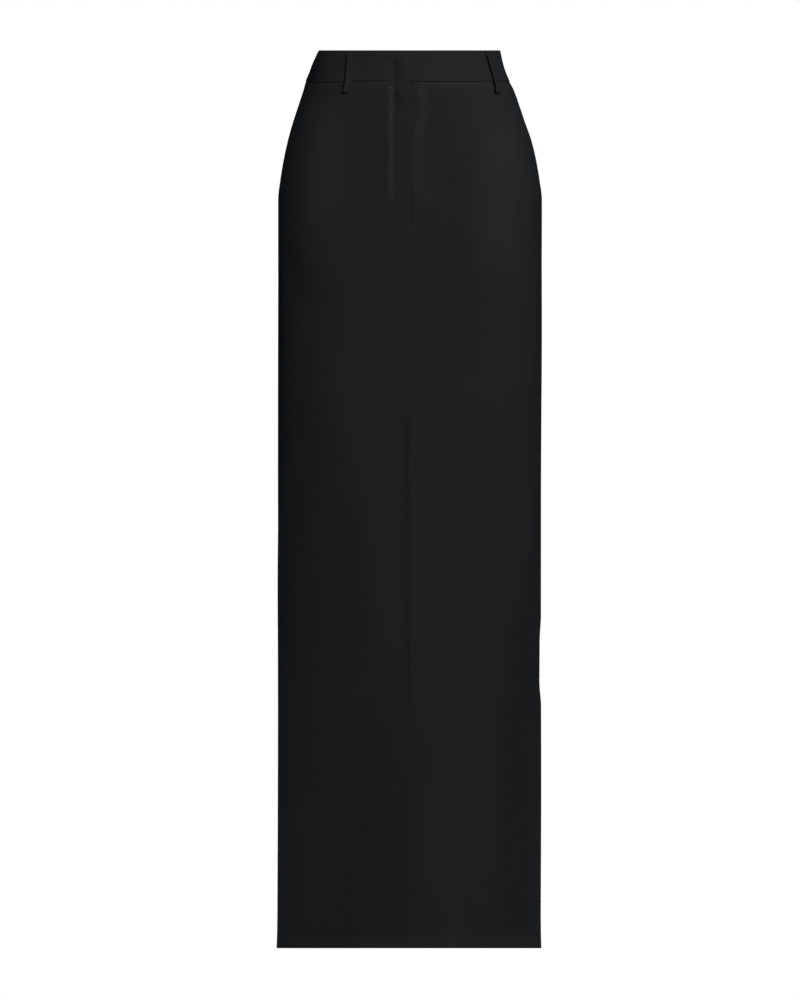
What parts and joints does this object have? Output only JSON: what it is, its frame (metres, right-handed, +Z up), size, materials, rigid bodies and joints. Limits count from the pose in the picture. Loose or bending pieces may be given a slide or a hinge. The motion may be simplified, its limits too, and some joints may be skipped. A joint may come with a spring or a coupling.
{
  "type": "straight maxi skirt",
  "caption": "Long straight woven skirt with a shaped waistband, belt loops and a lapped front closure, filled out as worn, open at waist and hem.",
  "frame": {"origin": "middle of the waist opening, level with the waistband's top edge", "axes": "+Z up along the skirt's length, the front faces -Y, +X is the wearer's left"},
  "size_m": [0.3225, 0.2389, 1.095],
  "materials": {
    "cloth": "black plain-woven crepe, matt with a faint sheen"
  },
  "bodies": {
    "root": {"waistband": "cloth", "front_right": "cloth", "front_left": "cloth", "back_right": "cloth", "back_left": "cloth", "belt_loop_front_right": "cloth", "belt_loop_front_left": "cloth", "belt_loop_back_right": "cloth", "belt_loop_back_left": "cloth", "belt_loop_back": "cloth"}
  },
  "joints": []
}
